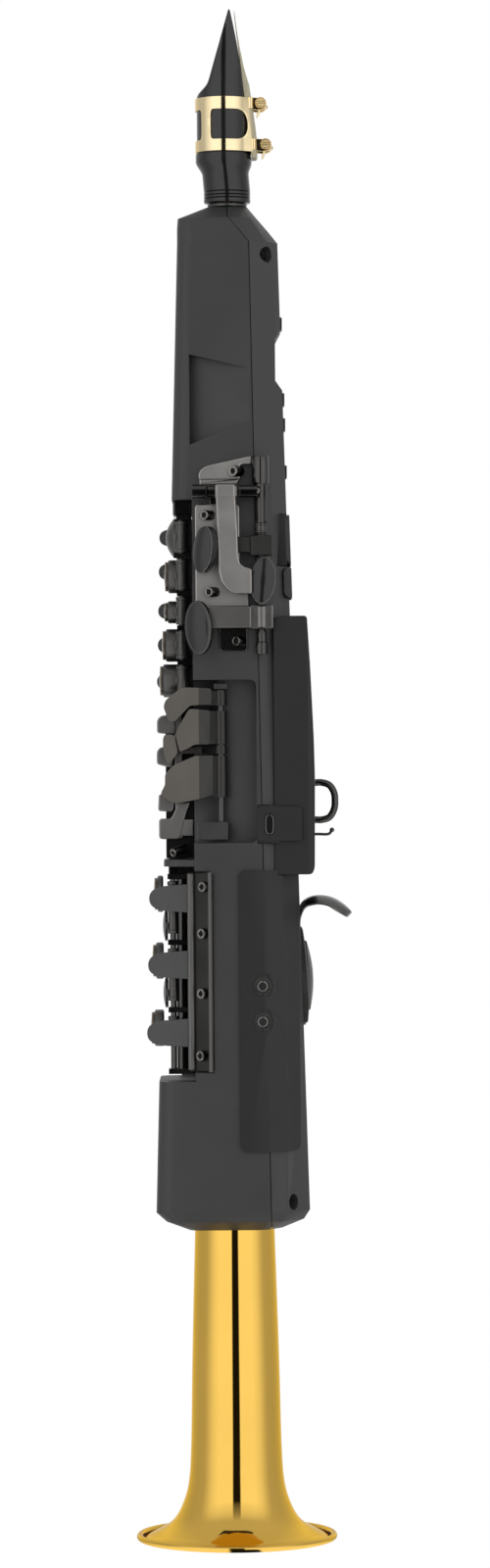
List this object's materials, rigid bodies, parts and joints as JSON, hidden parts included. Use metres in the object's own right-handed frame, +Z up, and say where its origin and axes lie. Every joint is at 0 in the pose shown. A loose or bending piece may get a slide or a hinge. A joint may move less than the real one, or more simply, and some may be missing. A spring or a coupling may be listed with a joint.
{
  "type": "digital wind controller",
  "caption": "Soprano-length digital saxophone with mouthpiece, fingered keys, thumb hook, battery housing and a short flared bell.",
  "frame": {"origin": "bottom centre of the whole part's box, on the floor under the bell, 4 mm behind the bell's axis", "axes": "+Z up along the instrument from the bell rim to the mouthpiece tip, -X to the front where the fingers play, -Y to the player's left side"},
  "size_m": [0.1006, 0.0918, 0.7],
  "materials": {
    "hard_rubber": "polished black",
    "cane": "bare cane",
    "ligature_brass": "satin",
    "bell_lacquer": "polished gold lacquer",
    "casing": "fine matt",
    "trim": "matt",
    "key_metal": "satin black nickel",
    "bare_steel": "satin",
    "touch": "satin black",
    "circuit_board": "satin",
    "cell": "satin"
  },
  "bodies": {
    "casing": {"bell": "bell_lacquer", "front_shell": "casing", "back_shell": "casing", "neck": "trim", "back_housing": "trim", "control_strip": "trim", "side_panel": "trim", "palm_plate": "key_metal", "palm_rod": "key_metal", "left_hand_rod": "key_metal", "table_bracket": "key_metal", "table_guard": "key_metal", "right_hand_rod": "key_metal", "right_hand_guard": "key_metal", "far_side_rod": "key_metal", "strap_ring": "key_metal", "cord_hook": "key_metal", "usb_port": "bare_steel", "jack_phones": "bare_steel", "jack_line": "bare_steel", "speaker": "bare_steel", "shell_screw_upper": "bare_steel", "shell_screw_lower": "bare_steel", "thumb_rest": "touch", "left_hand_guard": "touch", "main_board": "circuit_board", "batteries": "cell"},
    "mouth_end": {"mouthpiece": "hard_rubber", "reed": "cane", "ligature": "ligature_brass"},
    "ligature_screw_upper": {"ligature_screw_upper": "ligature_brass"},
    "ligature_screw_lower": {"ligature_screw_lower": "ligature_brass"},
    "battery_cover": {"battery_cover": "trim"},
    "thumb_hook": {"thumb_hook": "key_metal"},
    "thumb_controller": {"thumb_controller": "touch"},
    "octave_key": {"octave_key": "touch"},
    "button_power": {"button_power": "touch"},
    "button_up": {"button_up": "touch"},
    "button_down": {"button_down": "touch"},
    "button_select": {"button_select": "touch"},
    "palm_key_1": {"palm_key_1": "key_metal"},
    "palm_key_2": {"palm_key_2": "key_metal"},
    "palm_key_3": {"palm_key_3": "key_metal"},
    "left_hand_key_1": {"left_hand_key_1": "touch"},
    "left_hand_key_2": {"left_hand_key_2": "touch"},
    "left_hand_key_3": {"left_hand_key_3": "touch"},
    "left_hand_key_4": {"left_hand_key_4": "touch"},
    "left_hand_key_5": {"left_hand_key_5": "touch"},
    "table_key_1": {"table_key_1": "key_metal"},
    "table_key_2": {"table_key_2": "key_metal"},
    "table_key_3": {"table_key_3": "key_metal"},
    "table_key_4": {"table_key_4": "key_metal"},
    "right_hand_key_1": {"right_hand_key_1": "touch"},
    "right_hand_key_2": {"right_hand_key_2": "touch"},
    "right_hand_key_3": {"right_hand_key_3": "touch"},
    "side_key_1": {"side_key_1": "key_metal"},
    "side_key_2": {"side_key_2": "key_metal"},
    "side_key_3": {"side_key_3": "key_metal"},
    "low_key_1": {"low_key_1": "key_metal"},
    "low_key_2": {"low_key_2": "key_metal"}
  },
  "joints": [
    {"name": "mouthpiece_slide", "type": "slide", "parent": "casing", "child": "mouth_end", "axis": [0, 0, 1], "range_m": [0, 0.028]},
    {"name": "ligature_turn_upper", "type": "hinge", "parent": "mouth_end", "child": "ligature_screw_upper", "pos_m": [0.0116, 0, 0.657], "axis": [0, 1, 0], "continuous": true},
    {"name": "ligature_turn_lower", "type": "hinge", "parent": "mouth_end", "child": "ligature_screw_lower", "pos_m": [0.01385, 0, 0.6382], "axis": [0, 1, 0], "continuous": true},
    {"name": "battery_cover_slide", "type": "slide", "parent": "casing", "child": "battery_cover", "axis": [1, 0, 0], "range_m": [0, 0.012]},
    {"name": "button_power_press", "type": "slide", "parent": "casing", "child": "button_power", "axis": [-1, 0, 0], "range_m": [0, 0.0006], "stiffness_N_per_m": 600, "springref_m": -0.0015},
    {"name": "button_up_press", "type": "slide", "parent": "casing", "child": "button_up", "axis": [-1, 0, 0], "range_m": [0, 0.0006], "stiffness_N_per_m": 600, "springref_m": -0.0015},
    {"name": "button_down_press", "type": "slide", "parent": "casing", "child": "button_down", "axis": [-1, 0, 0], "range_m": [0, 0.0006], "stiffness_N_per_m": 600, "springref_m": -0.0015},
    {"name": "button_select_press", "type": "slide", "parent": "casing", "child": "button_select", "axis": [-1, 0, 0], "range_m": [0, 0.0006], "stiffness_N_per_m": 600, "springref_m": -0.0015},
    {"name": "octave_press", "type": "hinge", "parent": "casing", "child": "octave_key", "pos_m": [0.0218, 0, 0.4672], "axis": [0, 1, 0], "range_deg": [0, 4], "stiffness_Nm_per_rad": 0.06, "springref_deg": -14.32},
    {"name": "thumb_hook_slide", "type": "slide", "parent": "casing", "child": "thumb_hook", "axis": [-0.0486, 0, 0.9988], "range_m": [-0.006, 0.006]},
    {"name": "thumb_controller_tilt", "type": "hinge", "parent": "thumb_hook", "child": "thumb_controller", "pos_m": [0.0283, 0, 0.2577], "axis": [0, 1, 0], "range_deg": [-3, 3], "stiffness_Nm_per_rad": 0.2},
    {"name": "palm_1_press", "type": "hinge", "parent": "casing", "child": "palm_key_1", "pos_m": [-0.0054, -0.033, 0.478], "axis": [1, 0, 0], "range_deg": [0, 3.5], "stiffness_Nm_per_rad": 0.06, "springref_deg": -14.32},
    {"name": "palm_2_press", "type": "hinge", "parent": "casing", "child": "palm_key_2", "pos_m": [0.0102, -0.029, 0.454], "axis": [0, 0, -1], "range_deg": [0, 3.6], "stiffness_Nm_per_rad": 0.06, "springref_deg": -14.32},
    {"name": "palm_3_press", "type": "hinge", "parent": "casing", "child": "palm_key_3", "pos_m": [0.0102, -0.029, 0.4214], "axis": [0, 0, -1], "range_deg": [0, 3.6], "stiffness_Nm_per_rad": 0.06, "springref_deg": -14.32},
    {"name": "left_hand_1_press", "type": "hinge", "parent": "casing", "child": "left_hand_key_1", "pos_m": [-0.026, -0.013, 0.4584], "axis": [0, 0, -1], "range_deg": [0, 8], "stiffness_Nm_per_rad": 0.06, "springref_deg": -14.32},
    {"name": "left_hand_2_press", "type": "hinge", "parent": "casing", "child": "left_hand_key_2", "pos_m": [-0.026, -0.013, 0.4409], "axis": [0, 0, -1], "range_deg": [0, 8], "stiffness_Nm_per_rad": 0.06, "springref_deg": -14.32},
    {"name": "left_hand_3_press", "type": "hinge", "parent": "casing", "child": "left_hand_key_3", "pos_m": [-0.026, -0.013, 0.4246], "axis": [0, 0, -1], "range_deg": [0, 8], "stiffness_Nm_per_rad": 0.06, "springref_deg": -14.32},
    {"name": "left_hand_4_press", "type": "hinge", "parent": "casing", "child": "left_hand_key_4", "pos_m": [-0.026, -0.013, 0.4094], "axis": [0, 0, -1], "range_deg": [0, 8], "stiffness_Nm_per_rad": 0.06, "springref_deg": -14.32},
    {"name": "left_hand_5_press", "type": "hinge", "parent": "casing", "child": "left_hand_key_5", "pos_m": [-0.026, -0.013, 0.3932], "axis": [0, 0, -1], "range_deg": [0, 8], "stiffness_Nm_per_rad": 0.06, "springref_deg": -14.32},
    {"name": "table_1_press", "type": "hinge", "parent": "casing", "child": "table_key_1", "pos_m": [-0.0086, -0.0216, 0.3848], "axis": [0, 0, -1], "range_deg": [0, 2], "stiffness_Nm_per_rad": 0.06, "springref_deg": -14.32},
    {"name": "table_2_press", "type": "hinge", "parent": "casing", "child": "table_key_2", "pos_m": [-0.0086, -0.0216, 0.3715], "axis": [0, 0, -1], "range_deg": [0, 3], "stiffness_Nm_per_rad": 0.06, "springref_deg": -14.32},
    {"name": "table_3_press", "type": "hinge", "parent": "casing", "child": "table_key_3", "pos_m": [-0.0086, -0.0216, 0.3614], "axis": [0, 0, -1], "range_deg": [0, 3], "stiffness_Nm_per_rad": 0.06, "springref_deg": -14.32},
    {"name": "table_4_press", "type": "hinge", "parent": "casing", "child": "table_key_4", "pos_m": [-0.0086, -0.0216, 0.3493], "axis": [0, 0, -1], "range_deg": [0, 3], "stiffness_Nm_per_rad": 0.06, "springref_deg": -14.32},
    {"name": "right_hand_1_press", "type": "hinge", "parent": "casing", "child": "right_hand_key_1", "pos_m": [-0.031, -0.0125, 0.2952], "axis": [0, 0, -1], "range_deg": [0, 8], "stiffness_Nm_per_rad": 0.06, "springref_deg": -14.32},
    {"name": "right_hand_2_press", "type": "hinge", "parent": "casing", "child": "right_hand_key_2", "pos_m": [-0.031, -0.0125, 0.2646], "axis": [0, 0, -1], "range_deg": [0, 8], "stiffness_Nm_per_rad": 0.06, "springref_deg": -14.32},
    {"name": "right_hand_3_press", "type": "hinge", "parent": "casing", "child": "right_hand_key_3", "pos_m": [-0.031, -0.0125, 0.2338], "axis": [0, 0, -1], "range_deg": [0, 8], "stiffness_Nm_per_rad": 0.06, "springref_deg": -14.32},
    {"name": "side_1_press", "type": "hinge", "parent": "casing", "child": "side_key_1", "pos_m": [-0.002, 0.034, 0.396], "axis": [0, 0, 1], "range_deg": [0, 4], "stiffness_Nm_per_rad": 0.06, "springref_deg": -14.32},
    {"name": "side_2_press", "type": "hinge", "parent": "casing", "child": "side_key_2", "pos_m": [-0.002, 0.034, 0.371], "axis": [0, 0, 1], "range_deg": [0, 4], "stiffness_Nm_per_rad": 0.06, "springref_deg": -14.32},
    {"name": "side_3_press", "type": "hinge", "parent": "casing", "child": "side_key_3", "pos_m": [-0.002, 0.034, 0.346], "axis": [0, 0, 1], "range_deg": [0, 4], "stiffness_Nm_per_rad": 0.06, "springref_deg": -14.32},
    {"name": "low_1_press", "type": "hinge", "parent": "casing", "child": "low_key_1", "pos_m": [-0.002, 0.034, 0.217], "axis": [0, 0, 1], "range_deg": [0, 4], "stiffness_Nm_per_rad": 0.06, "springref_deg": -14.32},
    {"name": "low_2_press", "type": "hinge", "parent": "casing", "child": "low_key_2", "pos_m": [-0.002, 0.034, 0.199], "axis": [0, 0, 1], "range_deg": [0, 4], "stiffness_Nm_per_rad": 0.06, "springref_deg": -14.32}
  ]
}
